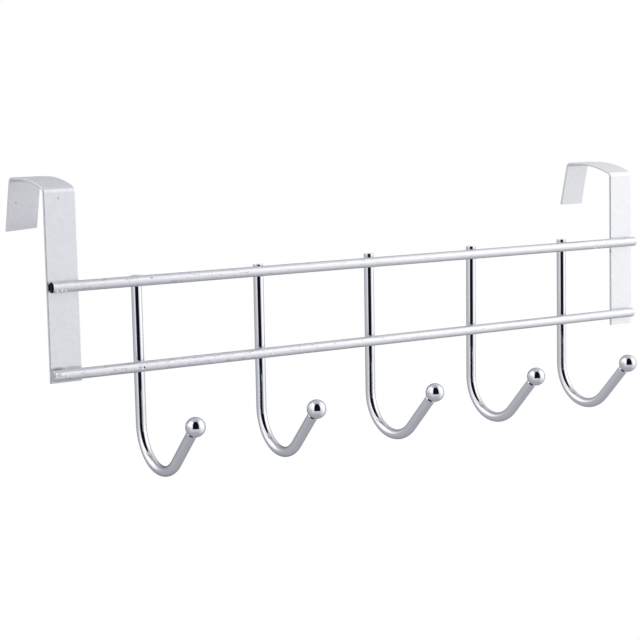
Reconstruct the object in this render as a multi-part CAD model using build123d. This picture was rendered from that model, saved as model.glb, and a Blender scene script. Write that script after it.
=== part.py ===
from build123d import *
from math import asin, cos, radians, sin, sqrt, tan
import os

# Over-door coat hook rail: two round rails, five J hooks with ball tips and two folded strip
# brackets, all of steel and welded together.
# Millimetres. +Z is up, +Y points from the room to the door, +X is right as seen from the room.
# The origin is the middle of the door's top front edge: y = 0 is the door-side face of the strips.

# Rails
rail_diameter = 5.6
rail_spacing = 45.3
rail_end_chamfer = 0.4
door_edge_to_top_rail = 46.1
top_rail_ends = (-204.6, 205.5)
bottom_rail_ends = (-205.5, 203.5)

# Strip brackets
strip_width = 18.0
strip_thickness = 1.5
strip_edge_radius = 0.5
weld_flat_depth = 0.2
bend_inner_radius = 2.0
arch_end_y = 28.0
leg_splay = 14.0
leg_trim_allowance = 2.0
trim_block = 40.0

# Each bracket is bent and welded a little differently: the middle of the strip's width, how far
# the underside of the level web and the strip's foot are from the top rail's axis, the clear gap
# under the web, the inner radius of the arch, how far the leg's foot is above the rail's axis, and
# how many degrees its foot is cut out of square (positive leaves its -X side longer).
brackets = {
    "left_door_bracket": {
        "x": -196.5,
        "web_above_rail": 54.0,
        "foot_below_rail": 49.5,
        "door_gap": 38.0,
        "arch_radius": 83.5,
        "leg_foot_above_rail": 27.2,
        "foot_cut": 4.0,
    },
    "right_door_bracket": {
        "x": 196.5,
        "web_above_rail": 49.0,
        "foot_below_rail": 52.5,
        "door_gap": 37.5,
        "arch_radius": 68.5,
        "leg_foot_above_rail": 23.0,
        "foot_cut": 0.0,
    },
}

# Hooks
wire_diameter = 5.6
wire_end_chamfer = 0.5
weld_saddle_depth = 0.45
hook_bend_radius = 22.5
hook_bend_angle = 135.0
bend_start_below_rail = 74.6
wire_end_to_ball_centre = 4.3
tip_to_ball_centre = 30.6
ball_diameter = 10.3

# Each hook as welded: its place along the rails, how far its cut top end stands above the top
# rail's axis, how far the whole hook sits above the common height, its sideways lean in degrees
# (positive moves the bend towards -X) and its turn about its shank in degrees (positive moves
# the ball towards +X).
hooks = [
    {"x": -152.7, "top": 2.8, "lift": -1.5, "lean": -0.05, "turn": -1.8},
    {"x": -76.4, "top": 3.6, "lift": -0.7, "lean": 0.23, "turn": -3.7},
    {"x": -0.9, "top": 4.9, "lift": -0.3, "lean": 0.45, "turn": 0.1},
    {"x": 74.9, "top": 4.6, "lift": 1.0, "lean": 0.75, "turn": -1.2},
    {"x": 147.7, "top": 4.5, "lift": 1.6, "lean": 0.28, "turn": -1.6},
]

# Places that follow from the sizes above
rail_radius = rail_diameter / 2
wire_radius = wire_diameter / 2
rail_y = -strip_thickness - rail_radius + weld_flat_depth
shank_y = rail_y + rail_radius + wire_radius - weld_saddle_depth
top_rail_z = -door_edge_to_top_rail
bottom_rail_z = top_rail_z - rail_spacing


def round_bar(ends, z):
    """A straight rail along X between its two ends, with its cut edges broken."""
    length = ends[1] - ends[0]
    bar = Cylinder(rail_radius, length, rotation=(0, 90, 0))
    bar = chamfer(bar.edges().filter_by(GeomType.CIRCLE), rail_end_chamfer)
    return Pos((ends[0] + ends[1]) / 2, rail_y, z) * bar


def strip_bracket(spec):
    """A flat strip folded into a front leg, an arched web over the door and a splayed back leg."""
    web_z = top_rail_z + spec["web_above_rail"]
    foot_z = top_rail_z - spec["foot_below_rail"]
    leg_foot_z = top_rail_z + spec["leg_foot_above_rail"]
    arch = spec["arch_radius"]
    front_corner_z = web_z - arch + sqrt(arch**2 - arch_end_y**2)
    half_rise = asin(arch_end_y / arch) / 2
    arch_middle = (arch_end_y - arch * sin(half_rise), web_z - arch + arch * cos(half_rise))
    splay_y = (web_z - leg_foot_z) * tan(radians(leg_splay))

    leg_way = Vector(0, sin(radians(leg_splay)), -cos(radians(leg_splay)))

    foot = Vector(0, foot_z)
    front_corner = Vector(0, front_corner_z)
    arch_end = Vector(arch_end_y, web_z)
    back_corner = Vector(spec["door_gap"], web_z)
    leg_foot = Vector(spec["door_gap"] + splay_y, leg_foot_z)
    leg_end = leg_foot + Vector(leg_way.Y, leg_way.Z) * leg_trim_allowance

    door_side = Wire(
        [
            Edge.make_line(foot, front_corner),
            Edge.make_three_point_arc(front_corner, Vector(*arch_middle), arch_end),
            Edge.make_line(arch_end, back_corner),
            Edge.make_line(back_corner, leg_end),
        ]
    )
    corners = [
        v
        for v in door_side.vertices()
        if (Vector(v) - front_corner).length < 0.01 or (Vector(v) - back_corner).length < 0.01
    ]
    bent = door_side.fillet_2d(bend_inner_radius, corners)
    section = make_face(bent.offset_2d(strip_thickness, Kind.INTERSECTION, Side.LEFT, closed=True))
    upright = Plane(origin=(spec["x"], 0, 0), x_dir=(0, 1, 0), z_dir=(1, 0, 0)) * section
    strip = extrude(upright, strip_width / 2, both=True)
    askew = radians(spec["foot_cut"])
    foot_cut = Plane(
        origin=(spec["x"], leg_foot.X, leg_foot.Y),
        z_dir=leg_way * cos(askew) + Vector(sin(askew), 0, 0),
    )
    strip -= foot_cut * Pos(0, 0, trim_block / 2) * Box(trim_block, trim_block, trim_block)
    cut_sides = strip.faces().filter_by(Axis.X)
    return fillet(cut_sides.edges(), strip_edge_radius)


def hook_frame(spec):
    """Where a hook's own frame sits: its shank axis crosses the top rail's height at the origin."""
    place = Pos(spec["x"], shank_y, top_rail_z)
    return place * Rot(0, spec["lean"], 0) * Rot(0, 0, spec["turn"]) * Pos(0, 0, spec["lift"])


def tip_direction():
    """The direction in which the bent-up end of a hook points."""
    turn = radians(hook_bend_angle)
    return Vector(0, -sin(turn), -cos(turn))


def bend_end():
    """Where a hook's bend ends and its straight tip begins, in the hook's own frame."""
    turn = radians(hook_bend_angle)
    return Vector(
        0,
        -hook_bend_radius * (1 - cos(turn)),
        -bend_start_below_rail - hook_bend_radius * sin(turn),
    )


def hook_wire(spec, rails):
    """A J hook of round wire, with a shallow saddle where each rail is welded across its front."""
    half_turn = radians(hook_bend_angle / 2)
    top = Vector(0, 0, spec["top"] - spec["lift"])
    bend_start = Vector(0, 0, -bend_start_below_rail)
    bend_middle = Vector(
        0,
        -hook_bend_radius * (1 - cos(half_turn)),
        -bend_start_below_rail - hook_bend_radius * sin(half_turn),
    )
    wire_end = bend_end() + tip_direction() * (tip_to_ball_centre - wire_end_to_ball_centre)
    route = Wire(
        [
            Edge.make_line(top, bend_start),
            Edge.make_three_point_arc(bend_start, bend_middle, bend_end()),
            Edge.make_line(bend_end(), wire_end),
        ]
    )
    section = Plane(origin=top, z_dir=(0, 0, -1)) * Circle(wire_radius)
    wire = sweep(section, route)
    top_edge = wire.edges().filter_by(GeomType.CIRCLE).sort_by(Axis.Z)[-1]
    wire = chamfer(top_edge, wire_end_chamfer)
    return hook_frame(spec) * wire - rails


def ball_tip(spec):
    """A steel ball with a small flat, butt-welded to the end of a hook's wire."""
    centre = bend_end() + tip_direction() * tip_to_ball_centre
    flat = Plane(origin=centre - tip_direction() * wire_end_to_ball_centre, z_dir=tip_direction())
    ball = Pos(centre) * Sphere(ball_diameter / 2)
    return hook_frame(spec) * split(ball, flat, keep=Keep.TOP)


def save(name, shape, color):
    """Write one piece, in its own colour, under its own name."""
    solids = shape.solids()
    piece = solids[0] if len(solids) == 1 else Compound(solids)
    piece.label = name
    piece.color = Color(*color)
    export_step(piece, f"parts/{name}.step")
    print(f"{name}: {len(solids)} solid, {piece.volume:.0f} mm3")


strip_color = (0.80, 0.81, 0.83)
rail_color = (0.72, 0.73, 0.76)
chrome_color = (0.60, 0.62, 0.66)

os.makedirs("parts", exist_ok=True)

folded = {name: strip_bracket(spec) for name, spec in brackets.items()}
strips = list(folded.values())
bars = [round_bar(top_rail_ends, top_rail_z), round_bar(bottom_rail_ends, bottom_rail_z)]

for name, shape in folded.items():
    save(name, shape, strip_color)
for name, bar in zip(("top_rail", "bottom_rail"), bars):
    save(name, bar - strips, rail_color)
for number, spec in enumerate(hooks, 1):
    save(f"hook_{number}", hook_wire(spec, bars), chrome_color)
    save(f"ball_tip_{number}", ball_tip(spec), chrome_color)
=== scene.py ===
from math import asin, cos, pi, radians, sin, tan

import bmesh
import bpy
from bpy.props import (
    FloatProperty,
    FloatVectorProperty,
    IntProperty,
    PointerProperty,
)
from mathutils import Matrix, Vector, noise


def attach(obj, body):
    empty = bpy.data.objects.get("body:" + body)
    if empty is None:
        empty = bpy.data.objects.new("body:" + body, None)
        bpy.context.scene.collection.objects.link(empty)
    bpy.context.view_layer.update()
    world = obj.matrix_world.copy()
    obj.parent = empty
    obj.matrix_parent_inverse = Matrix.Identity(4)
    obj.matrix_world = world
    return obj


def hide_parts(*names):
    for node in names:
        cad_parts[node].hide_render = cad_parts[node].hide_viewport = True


bl_info = {
    "name": "Coat Hook Rail",
    "version": (1, 0, 0),
    "blender": (4, 5, 0),
    "location": "3D View > Sidebar > Hook Rail",
    "description": "Builds an over-door rail with five wire hooks and two strip brackets",
    "category": "Add Mesh",
}

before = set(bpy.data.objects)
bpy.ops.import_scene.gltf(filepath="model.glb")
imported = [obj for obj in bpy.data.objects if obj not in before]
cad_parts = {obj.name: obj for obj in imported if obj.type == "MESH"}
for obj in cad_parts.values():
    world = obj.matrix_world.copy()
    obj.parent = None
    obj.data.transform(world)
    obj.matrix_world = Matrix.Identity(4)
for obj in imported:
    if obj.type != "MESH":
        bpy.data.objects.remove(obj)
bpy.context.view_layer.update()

MM = 0.001
BODY = "root"

# Places along the rails and how each bracket and hook was bent and welded, in millimetres and
# degrees, as in the part's source.
BRACKETS = {
    "left_door_bracket": {
        "x": -196.5,
        "web_above_rail": 54.0,
        "foot_below_rail": 49.5,
        "door_gap": 38.0,
        "arch_radius": 83.5,
        "leg_foot_above_rail": 27.2,
        "foot_cut": 4.0,
    },
    "right_door_bracket": {
        "x": 196.5,
        "web_above_rail": 49.0,
        "foot_below_rail": 52.5,
        "door_gap": 37.5,
        "arch_radius": 68.5,
        "leg_foot_above_rail": 23.0,
        "foot_cut": 0.0,
    },
}
HOOKS = [
    {"x": -152.7, "top": 2.8, "lift": -1.5, "lean": -0.05, "turn": -1.8},
    {"x": -76.4, "top": 3.6, "lift": -0.7, "lean": 0.23, "turn": -3.7},
    {"x": -0.9, "top": 4.9, "lift": -0.3, "lean": 0.45, "turn": 0.1},
    {"x": 74.9, "top": 4.6, "lift": 1.0, "lean": 0.75, "turn": -1.2},
    {"x": 147.7, "top": 4.5, "lift": 1.6, "lean": 0.28, "turn": -1.6},
]
# Marks on the strips, dark specks and painted shade: the place, the reach along the rails and
# the reach across them, all in millimetres, and how far the mark's middle takes the dark
# colour.
STRIP_MARKS = (
    # Painted shade for a small dent below the left bend.
    (-197.3, -1.5, -1.0, 0.8, 0.8, 0.55),
    (-201.0, 41.0, -4.2, 0.8, 0.8, 0.55),
    # Painted shade at the lower left weld: two marks along the top of the bottom rail, one over
    # the foot below it.
    (-201.6, -1.5, -88.4, 5.0, 1.3, 0.75),
    (-193.0, -1.5, -88.2, 6.0, 1.0, 0.35),
    (-196.5, -1.5, -95.0, 16.0, 4.0, 0.35),
    (187.5, -1.0, -51.5, 1.3, 1.3, 0.55),
)
# Spatter on the rails' fronts: the place along the rail, degrees up from straight in front, and
# half-sizes along and across the rail, in millimetres.
SPATTER = {
    "top_rail": (
        (-202.4, -40.0, 0.9, 0.65),
        (-199.8, -36.0, 0.8, 0.7),
        (-197.4, -42.0, 0.8, 0.6),
        (-147.0, 34.0, 1.4, 0.8),
        (-9.0, 30.0, 0.5, 0.35),
        (168.2, -38.0, 0.7, 0.55),
        (170.4, -46.0, 0.9, 0.55),
        (172.6, -30.0, 0.65, 0.5),
        (174.9, -42.0, 0.7, 0.55),
        (177.2, -26.0, 0.6, 0.5),
    ),
    "bottom_rail": (
        (-202.2, 16.0, 2.2, 1.0),
        (-198.9, -4.0, 0.8, 0.7),
        (-155.5, -6.0, 1.2, 1.1),
        (-74.0, -16.0, 0.6, 0.5),
        (77.4, 12.0, 0.6, 0.4),
        (189.0, -30.0, 0.6, 0.5),
    ),
}
# Where each rail begins and ends.
RAIL_ENDS = {
    "top_rail": (-204.6 * MM, 205.5 * MM),
    "bottom_rail": (-205.5 * MM, 203.5 * MM),
}
# How deep the rails sit in the strips, and the shanks in the rails.
WELD_FLAT_DEPTH = 0.2 * MM
WELD_SADDLE_DEPTH = 0.45 * MM
# Where the strips' arched webs turn level.
ARCH_END_Y = 28.0 * MM
# Where the shanks' bends start, how far the ball's middle is from the end of the bend, and how
# much of that is inside the ball.
BEND_START_BELOW_RAIL = 74.6 * MM
TIP_TO_BALL_CENTRE = 30.6 * MM
WIRE_END_TO_BALL_CENTRE = 4.3 * MM
# Dirt in pits and marks of the plating, and the painted shade in some of the strips' marks.
DIRT_AND_PAINTED_SHADE_COLOUR = "#8C8C94"
# The scale of a Mapping node that turns Object coordinates into millimetres.
TO_MM = (1000.0,) * 3


def linear(hex_colour):
    """An sRGB hex colour as a linear RGBA value."""
    channels = [int(hex_colour[i : i + 2], 16) / 255 for i in (1, 3, 5)]
    return tuple(
        c / 12.92 if c <= 0.04045 else ((c + 0.055) / 1.055) ** 2.4 for c in channels
    ) + (1.0,)


class HookRailSizes(bpy.types.PropertyGroup):
    """The sizes that a user would change."""

    rail_diameter: FloatProperty(
        name="Rail diameter",
        description="Diameter of the two round rails",
        default=5.6 * MM,
        unit="LENGTH",
    )
    rail_spacing: FloatProperty(
        name="Rail spacing",
        description="Height between the axes of the two rails",
        default=45.3 * MM,
        unit="LENGTH",
    )
    top_rail_below_door_edge: FloatProperty(
        name="Top rail below door edge",
        description="How far the top rail's axis is below the door's top edge",
        default=46.1 * MM,
        unit="LENGTH",
    )
    strip_width: FloatProperty(
        name="Strip width",
        description="Width of the folded strips",
        default=18.0 * MM,
        unit="LENGTH",
    )
    strip_thickness: FloatProperty(
        name="Strip thickness",
        description="Thickness of the folded strips",
        default=1.5 * MM,
        unit="LENGTH",
    )
    strip_bend_radius: FloatProperty(
        name="Strip bend radius",
        description="Inner radius of the strips' tight bends",
        default=2.0 * MM,
        unit="LENGTH",
    )
    leg_splay: FloatProperty(
        name="Back leg splay",
        description="How far the back legs lean away from the door",
        default=radians(14.0),
        subtype="ANGLE",
    )
    wire_diameter: FloatProperty(
        name="Wire diameter",
        description="Diameter of the hooks' wire",
        default=5.6 * MM,
        unit="LENGTH",
    )
    hook_bend_radius: FloatProperty(
        name="Hook bend radius",
        description="Radius of the hook's bend at the middle of the wire",
        default=22.5 * MM,
        unit="LENGTH",
    )
    hook_bend_angle: FloatProperty(
        name="Hook bend angle",
        description="How far the wire turns in its bend",
        default=radians(135.0),
        subtype="ANGLE",
    )
    ball_diameter: FloatProperty(
        name="Ball diameter",
        description="Diameter of the ball on the end of each hook",
        default=10.3 * MM,
        unit="LENGTH",
    )
    round_segments: IntProperty(
        name="Round segments",
        description="Number of sides that a rail or wire is made with",
        default=64,
        min=12,
        max=128,
    )


class HookRailFinish(bpy.types.PropertyGroup):
    """The colours and glosses that a user would change."""

    rail_colour: FloatVectorProperty(
        name="Rail colour",
        description="Colour of the plated rails",
        subtype="COLOR",
        size=4,
        min=0.0,
        max=1.0,
        default=linear("#EEEEF2"),
    )
    strip_colour: FloatVectorProperty(
        name="Strip colour",
        description="Colour of the satin strips",
        subtype="COLOR",
        size=4,
        min=0.0,
        max=1.0,
        default=linear("#F6F6F9"),
    )
    chrome_colour: FloatVectorProperty(
        name="Chrome colour",
        description="Colour of the chromed wire and balls",
        subtype="COLOR",
        size=4,
        min=0.0,
        max=1.0,
        default=linear("#F3F3F7"),
    )
    strip_roughness: FloatProperty(
        name="Strip roughness",
        description="How far the satin strips blur what they reflect",
        subtype="FACTOR",
        default=0.22,
        min=0.0,
        max=1.0,
    )
    rail_roughness: FloatProperty(
        name="Rail roughness",
        description="How far the plated rails blur what they reflect",
        subtype="FACTOR",
        default=0.16,
        min=0.0,
        max=1.0,
    )
    weld_roughness: FloatProperty(
        name="Weld roughness",
        description="How far the beads of weld metal blur what they reflect",
        subtype="FACTOR",
        default=0.35,
        min=0.0,
        max=1.0,
    )
    chrome_roughness: FloatProperty(
        name="Chrome roughness",
        description="How far the chromed wire blurs what it reflects",
        subtype="FACTOR",
        default=0.07,
        min=0.0,
        max=1.0,
    )


def add_node(tree, kind, inputs=None, stops=(), **settings):
    """Adds a node with its settings, its inputs' values or links, and its colour stops."""
    node = tree.nodes.new(kind)
    for name, value in settings.items():
        setattr(node, name, value)
    for key, value in (inputs or {}).items():
        if isinstance(value, bpy.types.NodeSocket):
            tree.links.new(value, node.inputs[key])
        else:
            node.inputs[key].default_value = value
    for index, (position, colour) in enumerate(stops):
        # A ramp comes with two stops of its own.
        ramp = node.color_ramp.elements
        stop = ramp[index] if index < 2 else ramp.new(position)
        stop.position = position
        stop.color = colour
    return node


def grey(value):
    """A grey of a linear value."""
    return (value, value, value, 1.0)


def new_material(name):
    """An empty node material and its tree."""
    material = bpy.data.materials.get(name) or bpy.data.materials.new(name)
    material.use_nodes = True
    material.node_tree.nodes.clear()
    return material, material.node_tree


def chromed_wire(finish):
    """Drawn steel wire, polished and chromed: a mirror with faint swells and small pits."""
    material, tree = new_material("chrome_plated_steel_wire")
    place = add_node(tree, "ShaderNodeTexCoord").outputs["Object"]
    in_mm = add_node(
        tree, "ShaderNodeMapping", {"Vector": place, "Scale": TO_MM}
    ).outputs["Vector"]
    # Orange peel of the plating, about 1.5 mm from one swell to the next.
    peel = add_node(
        tree,
        "ShaderNodeTexNoise",
        {"Vector": in_mm, "Scale": 0.7, "Detail": 3.0, "Roughness": 0.6},
    ).outputs["Fac"]
    # Specks of dirt and small pits, 0.3 mm and up, drawn as coarse as they need to show.
    pits = add_node(
        tree,
        "ShaderNodeTexNoise",
        {"Vector": in_mm, "Scale": 2.4, "Detail": 2.0, "Roughness": 0.5},
    ).outputs["Fac"]
    dirt = add_node(
        tree,
        "ShaderNodeMapRange",
        {"Value": pits, "From Min": 0.66, "From Max": 0.76},
    ).outputs["Result"]
    colour = add_node(
        tree,
        "ShaderNodeMix",
        {0: dirt, 6: tuple(finish.chrome_colour), 7: linear(DIRT_AND_PAINTED_SHADE_COLOUR)},
        data_type="RGBA",
    ).outputs[2]
    roughness = add_node(
        tree,
        "ShaderNodeMapRange",
        {
            "Value": peel,
            "From Min": 0.3,
            "From Max": 0.7,
            "To Min": finish.chrome_roughness * 0.8,
            "To Max": finish.chrome_roughness * 1.6,
        },
    ).outputs["Result"]
    bump = add_node(
        tree,
        "ShaderNodeBump",
        {"Height": peel, "Strength": 0.08, "Distance": 0.03 * MM},
    ).outputs["Normal"]
    # The tint darkens the rims, where chrome mirrors at a low angle.
    shader = add_node(
        tree,
        "ShaderNodeBsdfPrincipled",
        {
            "Base Color": colour,
            "Metallic": 1.0,
            "Roughness": roughness,
            "Specular Tint": linear("#9C9CA2"),
            "Normal": bump,
        },
    ).outputs["BSDF"]
    add_node(tree, "ShaderNodeOutputMaterial", {"Surface": shader})
    return material


def plated_rail(finish):
    """Drawn steel bar with a thin bright plating that follows the bar's own grain and pits."""
    material, tree = new_material("bright_plated_drawn_steel")
    place = add_node(tree, "ShaderNodeTexCoord").outputs["Object"]
    # Drawing grain runs along the rail: 6 mm long and 0.5 mm wide.
    grain_map = add_node(
        tree,
        "ShaderNodeMapping",
        {"Vector": place, "Scale": (170.0, 2000.0, 2000.0)},
    ).outputs["Vector"]
    grain = add_node(
        tree,
        "ShaderNodeTexNoise",
        {"Vector": grain_map, "Scale": 1.0, "Detail": 3.0, "Roughness": 0.6},
    ).outputs["Fac"]
    # Flecks in the plating, drawn out to about 5 mm by 1.3 mm, as coarse as they need to show.
    # They are plainest at the left end and fade to the right.
    from_middle = add_node(tree, "ShaderNodeSeparateXYZ", {"Vector": place}).outputs["X"]
    along = add_node(
        tree,
        "ShaderNodeMapRange",
        {
            "Value": from_middle,
            "From Min": -120.0 * MM,
            "From Max": 60.0 * MM,
            "To Min": 0.9,
            "To Max": 0.25,
        },
    ).outputs["Result"]
    fleck_map = add_node(
        tree,
        "ShaderNodeMapping",
        {"Vector": place, "Scale": (220.0, 750.0, 750.0)},
    ).outputs["Vector"]
    pits = add_node(
        tree,
        "ShaderNodeTexNoise",
        {"Vector": fleck_map, "Scale": 1.0, "Detail": 5.0, "Roughness": 0.72},
    ).outputs["Fac"]
    dirt = add_node(
        tree,
        "ShaderNodeMapRange",
        {"Value": pits, "From Min": 0.56, "From Max": 0.72, "To Max": along},
    ).outputs["Result"]
    colour = add_node(
        tree,
        "ShaderNodeMix",
        {0: dirt, 6: tuple(finish.rail_colour), 7: linear("#85858E")},
        data_type="RGBA",
    ).outputs[2]
    roughness = add_node(
        tree,
        "ShaderNodeMapRange",
        {
            "Value": pits,
            "From Min": 0.3,
            "From Max": 0.7,
            "To Min": finish.rail_roughness * 0.8,
            "To Max": finish.rail_roughness * 1.7,
        },
    ).outputs["Result"]
    bump = add_node(
        tree,
        "ShaderNodeBump",
        {"Height": grain, "Strength": 0.3, "Distance": 0.04 * MM},
    ).outputs["Normal"]
    # Not quite a full metal, because the drawn surface also scatters some light. The tint
    # darkens the rims.
    shader = add_node(
        tree,
        "ShaderNodeBsdfPrincipled",
        {
            "Base Color": colour,
            "Metallic": 0.85,
            "Roughness": roughness,
            "Specular Tint": linear("#A8A8AE"),
            "Normal": bump,
        },
    ).outputs["BSDF"]
    add_node(tree, "ShaderNodeOutputMaterial", {"Surface": shader})
    return material


def weld_metal(finish):
    """Weld metal under the plating: lumpy and pale, and it scatters more than it mirrors."""
    material, tree = new_material("plated_weld_metal")
    place = add_node(tree, "ShaderNodeTexCoord").outputs["Object"]
    in_mm = add_node(
        tree, "ShaderNodeMapping", {"Vector": place, "Scale": TO_MM}
    ).outputs["Vector"]
    # Ripples of the frozen pool, about 0.8 mm apart.
    ripples = add_node(
        tree,
        "ShaderNodeTexNoise",
        {"Vector": in_mm, "Scale": 1.2, "Detail": 2.0, "Roughness": 0.5},
    ).outputs["Fac"]
    bump = add_node(
        tree,
        "ShaderNodeBump",
        {"Height": ripples, "Strength": 0.5, "Distance": 0.1 * MM},
    ).outputs["Normal"]
    shader = add_node(
        tree,
        "ShaderNodeBsdfPrincipled",
        {
            "Base Color": linear("#FEFEFE"),
            "Metallic": 0.45,
            "Roughness": finish.weld_roughness,
            "Normal": bump,
        },
    ).outputs["BSDF"]
    add_node(tree, "ShaderNodeOutputMaterial", {"Surface": shader})
    return material


def dark_end_and_painted_hole_shade(rail_y):
    """The bar's sheared end, nearly black with a paler line down its middle, and painted shade
    in a gas hole.
    """
    material, tree = new_material("dark_rail_end_and_painted_hole_shade")
    place = add_node(tree, "ShaderNodeTexCoord").outputs["Object"]
    across = add_node(tree, "ShaderNodeSeparateXYZ", {"Vector": place}).outputs["Y"]
    off_middle = add_node(
        tree, "ShaderNodeMath", {0: across, 1: rail_y}, operation="SUBTRACT"
    ).outputs[0]
    off_middle = add_node(
        tree, "ShaderNodeMath", {0: off_middle}, operation="ABSOLUTE"
    ).outputs[0]
    line = add_node(
        tree,
        "ShaderNodeMapRange",
        {"Value": off_middle, "From Min": 0.6 * MM, "From Max": 0.1 * MM},
    ).outputs["Result"]
    colour = add_node(
        tree,
        "ShaderNodeMix",
        {0: line, 6: linear("#08080A"), 7: linear("#3C3C42")},
        data_type="RGBA",
    ).outputs[2]
    shader = add_node(
        tree,
        "ShaderNodeBsdfPrincipled",
        {"Base Color": colour, "Roughness": 0.8, "Specular IOR Level": 0.1},
    ).outputs["BSDF"]
    add_node(tree, "ShaderNodeOutputMaterial", {"Surface": shader})
    return material


def cut_wire_end():
    """The wire's cut top end: plated like the rest, but pale and matt from the cut."""
    material, tree = new_material("plated_cut_steel")
    shader = add_node(
        tree,
        "ShaderNodeBsdfPrincipled",
        {"Base Color": linear("#FCFCFC"), "Metallic": 0.35, "Roughness": 0.55},
    ).outputs["BSDF"]
    add_node(tree, "ShaderNodeOutputMaterial", {"Surface": shader})
    return material


def satin_strip(finish):
    """Rolled steel strip, plated satin: soft reflections, and faint streaks along it."""
    material, tree = new_material("satin_plated_rolled_steel")
    place = add_node(tree, "ShaderNodeTexCoord").outputs["Object"]
    # Rolling streaks: 12 mm long and 0.6 mm wide.
    streak_map = add_node(
        tree,
        "ShaderNodeMapping",
        {"Vector": place, "Scale": (1700.0, 85.0, 85.0)},
    ).outputs["Vector"]
    streaks = add_node(
        tree,
        "ShaderNodeTexNoise",
        {"Vector": streak_map, "Scale": 1.0, "Detail": 4.0, "Roughness": 0.65},
    ).outputs["Fac"]
    in_mm = add_node(
        tree, "ShaderNodeMapping", {"Vector": place, "Scale": TO_MM}
    ).outputs["Vector"]
    # The plating's own mottling: patches about 2.5 mm across with a finer grain in them.
    mottle = add_node(
        tree,
        "ShaderNodeTexNoise",
        {"Vector": in_mm, "Scale": 0.4, "Detail": 6.0, "Roughness": 0.85},
    ).outputs["Fac"]
    patches = add_node(
        tree,
        "ShaderNodeMapRange",
        {"Value": mottle, "From Min": 0.36, "From Max": 0.66},
    ).outputs["Result"]
    colour = add_node(
        tree,
        "ShaderNodeMix",
        {0: patches, 6: tuple(finish.strip_colour), 7: linear("#ECECF0")},
        data_type="RGBA",
    ).outputs[2]
    # Marks, placed as on the real strips: painted shade for a dent below the left bend, a dark
    # speck on the left back leg, painted shade above and below the bottom rail at the lower
    # left weld, and a speck on the right strip's edge.
    for x, y, z, long, high, strength in STRIP_MARKS:
        from_mark = add_node(
            tree,
            "ShaderNodeVectorMath",
            {0: in_mm, 1: (x, y, z)},
            operation="SUBTRACT",
        ).outputs["Vector"]
        in_reaches = add_node(
            tree,
            "ShaderNodeVectorMath",
            {0: from_mark, 1: (1 / long, 1 / high, 1 / high)},
            operation="MULTIPLY",
        ).outputs["Vector"]
        apart = add_node(
            tree, "ShaderNodeVectorMath", {0: in_reaches}, operation="LENGTH"
        ).outputs["Value"]
        mark = add_node(
            tree,
            "ShaderNodeMapRange",
            {"Value": apart, "From Min": 1.0, "From Max": 0.4, "To Max": strength},
        ).outputs["Result"]
        colour = add_node(
            tree,
            "ShaderNodeMix",
            {0: mark, 6: colour, 7: linear(DIRT_AND_PAINTED_SHADE_COLOUR)},
            data_type="RGBA",
        ).outputs[2]
    roughness = add_node(
        tree,
        "ShaderNodeMapRange",
        {
            "Value": streaks,
            "From Min": 0.3,
            "From Max": 0.7,
            "To Min": finish.strip_roughness * 0.9,
            "To Max": finish.strip_roughness * 1.15,
        },
    ).outputs["Result"]
    bump = add_node(
        tree,
        "ShaderNodeBump",
        {"Height": streaks, "Strength": 0.07, "Distance": 0.02 * MM},
    ).outputs["Normal"]
    # Less than a full metal, because the satin surface also scatters light.
    shader = add_node(
        tree,
        "ShaderNodeBsdfPrincipled",
        {
            "Base Color": colour,
            "Metallic": 0.7,
            "Roughness": roughness,
            "Normal": bump,
        },
    ).outputs["BSDF"]
    add_node(tree, "ShaderNodeOutputMaterial", {"Surface": shader})
    return material


def with_rims(faces):
    """Faces with their edges and corners, so that an extrusion leaves none of them inside."""
    rims = [edge for face in faces for edge in face.edges]
    corners = [vert for face in faces for vert in face.verts]
    return list(faces) + list(dict.fromkeys(rims)) + list(dict.fromkeys(corners))


def pull(bm, faces, by):
    """Extrudes faces by a vector and gives the faces at the new end."""
    grown = bmesh.ops.extrude_face_region(bm, geom=with_rims(faces))["geom"]
    verts = [g for g in grown if isinstance(g, bmesh.types.BMVert)]
    bmesh.ops.translate(bm, verts=verts, vec=by)
    return [g for g in grown if isinstance(g, bmesh.types.BMFace)]


def bend(bm, faces, centre, angle, steps):
    """Bends faces about the X axis through a centre and gives the faces at the new end."""
    last = bmesh.ops.spin(
        bm,
        geom=with_rims(faces),
        cent=centre,
        axis=(1.0, 0.0, 0.0),
        angle=angle,
        steps=steps,
        use_duplicate=False,
    )["geom_last"]
    return [g for g in last if isinstance(g, bmesh.types.BMFace)]


def round_off(bm, edges, size, segments):
    """Bevels edges with a round section."""
    bmesh.ops.bevel(
        bm,
        geom=edges,
        offset=size,
        offset_type="OFFSET",
        segments=segments,
        profile=0.5,
        affect="EDGES",
        material=-1,
    )


def end_faces(bm, name):
    """The two ends of a bar, strip or wire: no other face has more than four sides."""
    ends = [face for face in bm.faces if len(face.verts) > 4]
    if len(ends) != 2:
        raise RuntimeError(f"{name} has {len(ends)} ends")
    return ends


def make_piece(name, bm, materials, nodes=()):
    """Turns a bmesh into a piece of the object that rides on the body."""
    merge_distance = 0.0005 * MM
    sharp_angle = radians(32.0)
    bmesh.ops.remove_doubles(bm, verts=bm.verts, dist=merge_distance)
    bmesh.ops.recalc_face_normals(bm, faces=bm.faces)
    for face in bm.faces:
        face.smooth = True
    mesh = bpy.data.meshes.new(name)
    bm.to_mesh(mesh)
    bm.free()
    mesh.set_sharp_from_angle(angle=sharp_angle)
    for material in materials:
        mesh.materials.append(material)
    piece = bpy.data.objects.new(name, mesh)
    bpy.context.scene.collection.objects.link(piece)
    # Large faces keep their own normals, so only the rounded edges look round.
    shading = piece.modifiers.new("large_faces_first", "WEIGHTED_NORMAL")
    shading.keep_sharp = True
    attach(piece, BODY)
    if nodes:
        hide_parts(*nodes)
    return piece


def rail_place(sizes):
    """The rails' place in depth and the heights of the top and bottom rail."""
    y = -sizes.strip_thickness - sizes.rail_diameter / 2 + WELD_FLAT_DEPTH
    top = -sizes.top_rail_below_door_edge
    return y, top, top - sizes.rail_spacing


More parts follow.
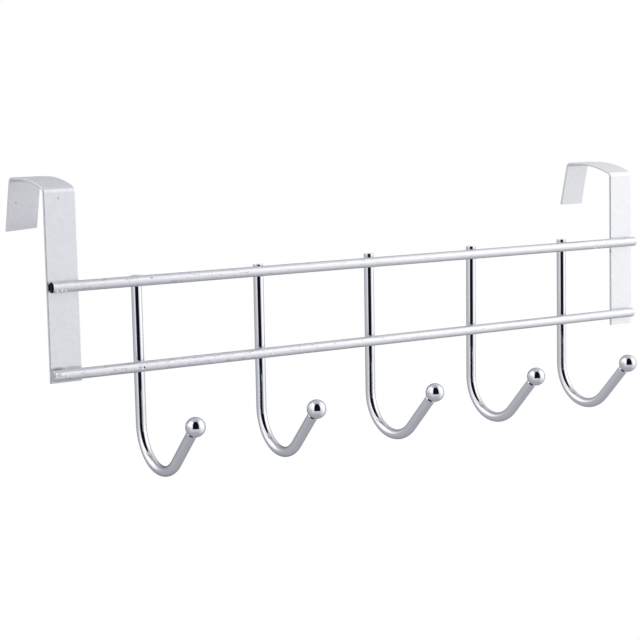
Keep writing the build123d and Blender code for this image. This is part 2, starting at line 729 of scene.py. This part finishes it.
def hook_matrix(sizes, spec):
    """Where a hook's own frame sits, with its lean, its turn and its lift."""
    rail_y, top_z, _ = rail_place(sizes)
    shank_y = rail_y + (sizes.rail_diameter + sizes.wire_diameter) / 2 - WELD_SADDLE_DEPTH
    return (
        Matrix.Translation((spec["x"] * MM, shank_y, top_z))
        @ Matrix.Rotation(radians(spec["lean"]), 4, "Y")
        @ Matrix.Rotation(radians(spec["turn"]), 4, "Z")
        @ Matrix.Translation((0.0, 0.0, spec["lift"] * MM))
    )


def tip_frame(sizes):
    """In a hook's own frame, the end of its bend and the direction of its straight tip."""
    turn = sizes.hook_bend_angle
    radius = sizes.hook_bend_radius
    end = Vector(
        (0.0, -radius * (1 - cos(turn)), -BEND_START_BELOW_RAIL - radius * sin(turn))
    )
    return end, Vector((0.0, -sin(turn), -cos(turn)))


class HOOKRAIL_OT_rails(bpy.types.Operator):
    """Builds the two round rails"""

    bl_idname = "hookrail.rails"
    bl_label = "Rails"

    def execute(self, context):
        sizes = context.scene.hook_rail_sizes
        plating = plated_rail(context.scene.hook_rail_finish)
        y, top_z, bottom_z = rail_place(sizes)
        end_rounding = 0.4 * MM
        dark_end_depth = end_rounding * 0.8
        for name, z in (("top_rail", top_z), ("bottom_rail", bottom_z)):
            left, right = RAIL_ENDS[name]
            bm = bmesh.new()
            across = Matrix.Translation((left, y, z)) @ Matrix.Rotation(pi / 2, 4, "Y")
            bmesh.ops.create_circle(
                bm,
                cap_ends=True,
                segments=sizes.round_segments,
                radius=sizes.rail_diameter / 2,
                matrix=across,
            )
            pull(bm, bm.faces[:], Vector((right - left, 0.0, 0.0)))
            edges = [edge for end in end_faces(bm, name) for edge in end.edges]
            round_off(bm, edges, end_rounding, segments=3)
            materials = [plating]
            if name == "top_rail":
                # The left end is nearly black: the flat of the cut and most of its rounding.
                for face in bm.faces:
                    if face.calc_center_median().x < left + dark_end_depth:
                        face.material_index = 1
                materials.append(dark_end_and_painted_hole_shade(y))
            make_piece(f"{name}_bar", bm, materials, [name])
        return {"FINISHED"}


class HOOKRAIL_OT_brackets(bpy.types.Operator):
    """Builds the two strip brackets"""

    bl_idname = "hookrail.brackets"
    bl_label = "Strip brackets"

    def execute(self, context):
        sizes = context.scene.hook_rail_sizes
        material = satin_strip(context.scene.hook_rail_finish)
        _, rail_z, _ = rail_place(sizes)
        width = sizes.strip_width
        thickness = sizes.strip_thickness
        inner = sizes.strip_bend_radius
        edge_rounding = 0.5 * MM
        cut_rounding = 0.12 * MM
        for name, spec in BRACKETS.items():
            web_z = rail_z + spec["web_above_rail"] * MM
            foot_z = rail_z - spec["foot_below_rail"] * MM
            leg_foot_z = rail_z + spec["leg_foot_above_rail"] * MM
            gap = spec["door_gap"] * MM
            arch = spec["arch_radius"] * MM

            # The foot's section: a square of one metre, brought to size, with round corners.
            bm = bmesh.new()
            bmesh.ops.create_grid(bm, x_segments=1, y_segments=1, size=0.5)
            bmesh.ops.scale(bm, verts=bm.verts, vec=(width, thickness, 1.0))
            bmesh.ops.translate(
                bm, verts=bm.verts, vec=(spec["x"] * MM, -thickness / 2, foot_z)
            )
            bmesh.ops.bevel(
                bm,
                geom=bm.verts[:],
                offset=edge_rounding,
                offset_type="OFFSET",
                segments=6,
                profile=0.5,
                affect="VERTICES",
                material=-1,
            )
            end = bm.faces[:]

            # Front leg up to the tight bend, that bend, and the arch that it runs into.
            arch_centre = (ARCH_END_Y, web_z - arch)
            lean = asin((inner - ARCH_END_Y) / (arch - inner))
            bend_z = arch_centre[1] + (arch - inner) * cos(lean)
            end = pull(bm, end, Vector((0.0, 0.0, bend_z - foot_z)))
            end = bend(bm, end, (0.0, inner, bend_z), -(pi / 2 + lean), steps=12)
            end = bend(bm, end, (0.0, *arch_centre), lean, steps=24)

            # Level web, back bend and splayed back leg.
            back_turn = pi / 2 - sizes.leg_splay
            setback = inner * tan(back_turn / 2)
            end = pull(bm, end, Vector((0.0, gap - setback - ARCH_END_Y, 0.0)))
            back_centre = (0.0, gap - setback, web_z - inner)
            end = bend(bm, end, back_centre, -back_turn, steps=12)
            leg = (web_z - leg_foot_z) / cos(sizes.leg_splay) - setback
            down = Vector((0.0, sin(sizes.leg_splay), -cos(sizes.leg_splay)))
            end = pull(bm, end, down * leg)

            # The foot is cut a little out of square.
            askew = tan(radians(spec["foot_cut"]))
            for vert in {v for face in end for v in face.verts}:
                vert.co -= down * askew * (vert.co.x - spec["x"] * MM)

            edges = [edge for end in end_faces(bm, name) for edge in end.edges]
            round_off(bm, edges, cut_rounding, segments=2)
            make_piece(f"{name}_strip", bm, [material], [name])
        return {"FINISHED"}


class HOOKRAIL_OT_hooks(bpy.types.Operator):
    """Builds the five wire hooks"""

    bl_idname = "hookrail.hooks"
    bl_label = "Wire hooks"

    def execute(self, context):
        sizes = context.scene.hook_rail_sizes
        finish = context.scene.hook_rail_finish
        materials = [chromed_wire(finish), cut_wire_end()]
        end_rounding = 0.5 * MM
        pale_depth = end_rounding * 0.3
        # The wire necks in before the ball, in two halves.
        neck_length = 0.9 * MM
        neck_shares = (0.85, 1.0)
        for number, spec in enumerate(HOOKS, 1):
            bm = bmesh.new()
            top = (spec["top"] - spec["lift"]) * MM
            bmesh.ops.create_circle(
                bm,
                cap_ends=True,
                segments=sizes.round_segments,
                radius=sizes.wire_diameter / 2,
                matrix=Matrix.Translation((0.0, 0.0, top)),
            )
            shank = Vector((0.0, 0.0, -BEND_START_BELOW_RAIL - top))
            end = pull(bm, bm.faces[:], shank)
            centre = (0.0, -sizes.hook_bend_radius, -BEND_START_BELOW_RAIL)
            end = bend(bm, end, centre, -sizes.hook_bend_angle, steps=72)
            _, direction = tip_frame(sizes)
            straight = TIP_TO_BALL_CENTRE - WIRE_END_TO_BALL_CENTRE
            end = pull(bm, end, direction * (straight - neck_length))
            for share in neck_shares:
                end = pull(bm, end, direction * neck_length / 2)
                middle = end[0].calc_center_median()
                bmesh.ops.scale(
                    bm,
                    verts=end[0].verts,
                    vec=(share,) * 3,
                    space=Matrix.Translation(-middle),
                )
            ends = end_faces(bm, f"hook_{number}")
            top_end = max(ends, key=lambda face: face.calc_center_median().z)
            round_off(bm, list(top_end.edges), end_rounding, segments=3)
            # The cut is pale: the flat of the end and the start of its rounding.
            for face in bm.faces:
                if face.calc_center_median().z > top - pale_depth:
                    face.material_index = 1
            bmesh.ops.transform(bm, matrix=hook_matrix(sizes, spec), verts=bm.verts)
            make_piece(
                f"hook_{number}_wire", bm, materials, [f"hook_{number}"]
            )
        return {"FINISHED"}


class HOOKRAIL_OT_balls(bpy.types.Operator):
    """Builds the ball on the end of each hook"""

    bl_idname = "hookrail.balls"
    bl_label = "Ball tips"

    def execute(self, context):
        sizes = context.scene.hook_rail_sizes
        material = chromed_wire(context.scene.hook_rail_finish)
        bend_end, direction = tip_frame(sizes)
        for number, spec in enumerate(HOOKS, 1):
            bm = bmesh.new()
            centre = bend_end + direction * TIP_TO_BALL_CENTRE
            upright = direction.to_track_quat("Z", "Y").to_matrix().to_4x4()
            bmesh.ops.create_uvsphere(
                bm,
                u_segments=96,
                v_segments=64,
                radius=sizes.ball_diameter / 2,
                matrix=Matrix.Translation(centre) @ upright,
            )
            cut = bmesh.ops.bisect_plane(
                bm,
                geom=bm.verts[:] + bm.edges[:] + bm.faces[:],
                plane_co=centre - direction * WIRE_END_TO_BALL_CENTRE,
                plane_no=direction,
                clear_inner=True,
            )["geom_cut"]
            rim = [g for g in cut if isinstance(g, bmesh.types.BMEdge)]
            bmesh.ops.contextual_create(bm, geom=rim)
            bmesh.ops.transform(bm, matrix=hook_matrix(sizes, spec), verts=bm.verts)
            make_piece(
                f"ball_tip_{number}_ball",
                bm,
                [material],
                [f"ball_tip_{number}"],
            )
        return {"FINISHED"}


def weld_bead(bm, centre, size, seed):
    """Adds one lumpy bead of weld metal, as three half-sizes about a centre."""
    lumps_per_radius = 1.3
    lump_height = 0.16
    own_place = Vector((seed, 3.1 * seed, -seed))
    made = bmesh.ops.create_icosphere(bm, subdivisions=4, radius=1.0)["verts"]
    for vert in made:
        swell = noise.noise(vert.co * lumps_per_radius + own_place)
        vert.co *= 1.0 + lump_height * swell
    bmesh.ops.scale(bm, verts=made, vec=size)
    bmesh.ops.translate(bm, verts=made, vec=centre)


class HOOKRAIL_OT_welds(bpy.types.Operator):
    """Builds the beads of weld metal where the rails meet the hooks and the strips"""

    bl_idname = "hookrail.welds"
    bl_label = "Welds"

    def execute(self, context):
        sizes = context.scene.hook_rail_sizes
        material = weld_metal(context.scene.hook_rail_finish)
        rail_y, top_z, bottom_z = rail_place(sizes)
        radius = sizes.rail_diameter / 2
        # Half-sizes of the beads behind the rails, at the hooks and at the strips. Each bead's
        # seed gives it lumps of its own.
        hook_bead = Vector((2.7, 0.95, 2.7)) * MM
        strip_bead = Vector((2.4, 0.6, 1.9)) * MM
        bead_depth = 0.1 * MM
        strip_bead_off_middle = 5.0
        hook_welds = bmesh.new()
        for number, spec in enumerate(HOOKS, 1):
            for z in (top_z, bottom_z):
                seed = number * 2.3 + z * 91.0
                place = Vector((spec["x"] * MM, rail_y + radius - bead_depth, z))
                weld_bead(hook_welds, place, hook_bead, seed)
        make_piece("hook_welds", hook_welds, [material])
        strip_welds = bmesh.new()
        for number, spec in enumerate(BRACKETS.values(), 1):
            for z in (top_z, bottom_z):
                for side in (-1, 1):
                    seed = number * 5.7 + z * 37.0 + side
                    x = (spec["x"] + side * strip_bead_off_middle) * MM
                    place = Vector((x, -sizes.strip_thickness - bead_depth, z))
                    weld_bead(strip_welds, place, strip_bead, seed)
        make_piece("strip_welds", strip_welds, [material])

        spatter = bmesh.new()
        for name, z in (("top_rail", top_z), ("bottom_rail", bottom_z)):
            for x, rise, half_long, half_wide in SPATTER[name]:
                turned = radians(rise)
                place = Vector(
                    (x * MM, rail_y - radius * cos(turned), z + radius * sin(turned))
                )
                half = Vector((half_long, half_wide, half_wide)) * MM
                weld_bead(spatter, place, half, x)
        drop_faces = len(spatter.faces)
        # One gas hole, beside the first hook's lower weld, as a dark bead set into the rail:
        # painted shade in the hole.
        hole_x = -153.9 * MM
        hole_radius = 0.55 * MM
        hole_set_in = 0.2 * MM
        hole_down = 0.1 * MM
        hole = Vector((hole_x, rail_y - radius + hole_set_in, bottom_z - hole_down))
        bmesh.ops.create_icosphere(
            spatter, subdivisions=3, radius=hole_radius, matrix=Matrix.Translation(hole)
        )
        spatter.faces.ensure_lookup_table()
        for face in spatter.faces[drop_faces:]:
            face.material_index = 1
        make_piece("weld_spatter", spatter, [material, dark_end_and_painted_hole_shade(rail_y)])
        return {"FINISHED"}


def within(tree, edges):
    """A share that is 1 inside some soft edges: each an angle, its outside and its inside."""
    share = 1.0
    for angle, outside, inside in edges:
        edge = add_node(
            tree,
            "ShaderNodeMapRange",
            {"Value": angle, "From Min": outside, "From Max": inside},
            interpolation_type="SMOOTHSTEP",
        ).outputs["Result"]
        share = add_node(
            tree, "ShaderNodeMath", {0: share, 1: edge}, operation="MULTIPLY"
        ).outputs[0]
    return share


def studio_world(scene):
    """White behind the object, and round it the soft lights and dark room that metal shows."""
    world = bpy.data.worlds.new("pale_studio")
    scene.world = world
    world.use_nodes = True
    tree = world.node_tree
    tree.nodes.clear()

    # The direction that is looked in, in degrees: azimuth is 0 straight in front of the rail
    # and grows to the right, and elevation grows upwards.
    direction = add_node(tree, "ShaderNodeTexCoord").outputs["Generated"]
    split = add_node(tree, "ShaderNodeSeparateXYZ", {"Vector": direction})
    front = add_node(
        tree, "ShaderNodeMath", {0: split.outputs["Y"], 1: -1.0}, operation="MULTIPLY"
    ).outputs[0]
    bearing = add_node(
        tree, "ShaderNodeMath", {0: split.outputs["X"], 1: front}, operation="ARCTAN2"
    ).outputs[0]
    azimuth = add_node(
        tree, "ShaderNodeMath", {0: bearing}, operation="DEGREES"
    ).outputs[0]
    rise = add_node(
        tree, "ShaderNodeMath", {0: split.outputs["Z"]}, operation="ARCSINE"
    ).outputs[0]
    elevation = add_node(tree, "ShaderNodeMath", {0: rise}, operation="DEGREES").outputs[0]

    # The walls, as linear colours by azimuth. The first two close the ring straight behind.
    wall_colours = (
        (-180, (0.43, 0.44, 0.46)),
        (180, (0.43, 0.44, 0.46)),
        (-145, (0.37, 0.38, 0.40)),
        (-122, (0.41, 0.42, 0.45)),
        (-100, (0.48, 0.49, 0.53)),
        (-84, (0.70, 0.71, 0.75)),
        (-58, (0.68, 0.69, 0.73)),
        (22, (0.67, 0.68, 0.70)),
        (28, (0.745, 0.75, 0.77)),
        (38, (0.97, 0.97, 0.98)),
        (46, (1.08, 1.08, 1.07)),
        (92, (1.05, 1.05, 1.04)),
        (112, (0.68, 0.69, 0.71)),
        (133, (0.59, 0.60, 0.62)),
        (152, (0.41, 0.42, 0.44)),
    )
    turn = add_node(
        tree,
        "ShaderNodeMapRange",
        {"Value": azimuth, "From Min": -180.0, "From Max": 180.0},
    ).outputs["Result"]
    walls = add_node(
        tree,
        "ShaderNodeValToRGB",
        {"Fac": turn},
        stops=[((180 + at) / 360, (*colour, 1.0)) for at, colour in wall_colours],
    ).outputs["Color"]

    # The ceiling, and a pale panel high up on the left.
    ceiling = within(tree, [(elevation, 32.0, 72.0)])
    panel = within(
        tree,
        [
            (azimuth, -168.0, -148.0),
            (azimuth, -30.0, -50.0),
            (elevation, -8.0, 26.0),
            (elevation, 72.0, 52.0),
        ],
    )

    # The pale table below, which is dimmer the steeper it is looked down on.
    table = add_node(
        tree,
        "ShaderNodeMapRange",
        {"Value": elevation, "From Min": 12.0, "From Max": -61.0},
    ).outputs["Result"]

    # The unlit part of the room. Its middle is 25 degrees left of straight in front, and each
    # side moves out by a tenth of a degree with every degree of height.
    off_middle = add_node(
        tree, "ShaderNodeMath", {0: azimuth, 1: 25.0}, operation="ADD"
    ).outputs[0]
    off_middle = add_node(
        tree, "ShaderNodeMath", {0: off_middle}, operation="ABSOLUTE"
    ).outputs[0]
    height = add_node(
        tree, "ShaderNodeMath", {0: elevation, 1: 0.0}, operation="MAXIMUM"
    ).outputs[0]
    off_axis = add_node(
        tree,
        "ShaderNodeMath",
        {0: height, 1: -0.1, 2: off_middle},
        operation="MULTIPLY_ADD",
    ).outputs[0]
    unlit = within(
        tree,
        [(off_axis, 42.0, 32.0), (elevation, -18.0, -12.0), (elevation, 77.0, 69.0)],
    )
    # Scattered light is plain: only mirrored light shows the unlit part.
    rays = add_node(tree, "ShaderNodeLightPath")
    mirrored = add_node(
        tree,
        "ShaderNodeMath",
        {0: 1.0, 1: rays.outputs["Is Diffuse Ray"]},
        operation="SUBTRACT",
    ).outputs[0]
    unlit = add_node(
        tree, "ShaderNodeMath", {0: unlit, 1: mirrored}, operation="MULTIPLY"
    ).outputs[0]

    # Each part of the room is laid over the ones before it.
    room = walls
    for share, colour in (
        (ceiling, (0.40, 0.40, 0.43, 1.0)),
        (panel, (0.90, 0.90, 0.91, 1.0)),
        (table, (0.31, 0.32, 0.34, 1.0)),
        (unlit, (0.004, 0.005, 0.008, 1.0)),
    ):
        room = add_node(
            tree, "ShaderNodeMix", {0: share, 6: room, 7: colour}, data_type="RGBA"
        ).outputs[2]
    room_level = 1.3
    room = add_node(
        tree,
        "ShaderNodeMix",
        {0: 1.0, 6: room, 7: grey(room_level)},
        data_type="RGBA",
        blend_type="MULTIPLY",
    ).outputs[2]

    shown = add_node(
        tree,
        "ShaderNodeMix",
        {0: rays.outputs["Is Camera Ray"], 6: room, 7: grey(1.0)},
        data_type="RGBA",
    ).outputs[2]
    light = add_node(
        tree, "ShaderNodeBackground", {"Color": shown, "Strength": 1.0}
    ).outputs["Background"]
    add_node(tree, "ShaderNodeOutputWorld", {"Surface": light})


class HOOKRAIL_OT_stage(bpy.types.Operator):
    """Builds the floor, the studio's light and the camera"""

    bl_idname = "hookrail.stage"
    bl_label = "Stage"

    def execute(self, context):
        scene = context.scene
        scene.view_settings.view_transform = "Standard"
        studio_world(scene)

        floor_z = -0.6
        floor_half_side = 6.0
        bm = bmesh.new()
        bmesh.ops.create_grid(bm, x_segments=1, y_segments=1, size=floor_half_side)
        bmesh.ops.translate(bm, verts=bm.verts, vec=(0.0, 0.0, floor_z))
        mesh = bpy.data.meshes.new("floor")
        bm.to_mesh(mesh)
        bm.free()
        floor = bpy.data.objects.new("floor", mesh)
        scene.collection.objects.link(floor)
        material, tree = new_material("matt_white_paper")
        paper = add_node(
            tree, "ShaderNodeBsdfDiffuse", {"Color": linear("#B3B5BA")}
        ).outputs["BSDF"]
        white = add_node(
            tree, "ShaderNodeEmission", {"Color": grey(1.0), "Strength": 1.0}
        ).outputs["Emission"]
        seen = add_node(tree, "ShaderNodeLightPath").outputs["Is Camera Ray"]
        mixed = add_node(
            tree, "ShaderNodeMixShader", {0: seen, 1: paper, 2: white}
        ).outputs[0]
        add_node(tree, "ShaderNodeOutputMaterial", {"Surface": mixed})
        mesh.materials.append(material)
        # The world has its own table for what the metal mirrors, so the floor is only seen.
        floor.visible_glossy = False
        floor.visible_diffuse = False

        # The photograph's viewpoint: where the camera stands, its turns and its focal length.
        image_width = 640
        focal_pixels = 1752.96
        place = Vector((-594.33, -811.36, 35.03)) * MM
        yaw = radians(34.507)
        pitch = radians(6.482)
        roll = radians(-1.316)
        forward = Vector(
            (sin(yaw) * cos(pitch), cos(yaw) * cos(pitch), -sin(pitch))
        )
        level_right = Vector((cos(yaw), -sin(yaw), 0.0))
        level_up = level_right.cross(forward)
        right = level_right * cos(roll) + level_up * sin(roll)
        up = level_up * cos(roll) - level_right * sin(roll)
        data = bpy.data.cameras.new("camera")
        data.sensor_width = 36.0
        data.lens = focal_pixels / image_width * data.sensor_width
        data.clip_start = 0.05
        data.clip_end = 50.0
        camera = bpy.data.objects.new("camera", data)
        camera.matrix_world = Matrix.Translation(place) @ Matrix(
            (
                (right.x, up.x, -forward.x, 0.0),
                (right.y, up.y, -forward.y, 0.0),
                (right.z, up.z, -forward.z, 0.0),
                (0.0, 0.0, 0.0, 1.0),
            )
        )
        scene.collection.objects.link(camera)
        scene.camera = camera
        return {"FINISHED"}


STEPS = (
    HOOKRAIL_OT_rails,
    HOOKRAIL_OT_brackets,
    HOOKRAIL_OT_hooks,
    HOOKRAIL_OT_balls,
    HOOKRAIL_OT_welds,
    HOOKRAIL_OT_stage,
)


class VIEW3D_PT_hook_rail(bpy.types.Panel):
    """Lists the steps that build the hook rail"""

    bl_idname = "VIEW3D_PT_hook_rail"
    bl_label = "Coat Hook Rail"
    bl_space_type = "VIEW_3D"
    bl_region_type = "UI"
    bl_category = "Hook Rail"

    def draw(self, context):
        layout = self.layout
        for step in STEPS:
            layout.operator(step.bl_idname)
        for group in (context.scene.hook_rail_sizes, context.scene.hook_rail_finish):
            box = layout.box()
            for name in group.__annotations__:
                box.prop(group, name)


CLASSES = (HookRailSizes, HookRailFinish, *STEPS, VIEW3D_PT_hook_rail)


def register():
    for item in CLASSES:
        bpy.utils.register_class(item)
    bpy.types.Scene.hook_rail_sizes = PointerProperty(type=HookRailSizes)
    bpy.types.Scene.hook_rail_finish = PointerProperty(type=HookRailFinish)


def unregister():
    del bpy.types.Scene.hook_rail_finish
    del bpy.types.Scene.hook_rail_sizes
    for item in reversed(CLASSES):
        bpy.utils.unregister_class(item)


def main():
    register()
    bpy.ops.hookrail.rails()
    bpy.ops.hookrail.brackets()
    bpy.ops.hookrail.hooks()
    bpy.ops.hookrail.balls()
    bpy.ops.hookrail.welds()
    bpy.ops.hookrail.stage()


if __name__ == "__main__":
    main()
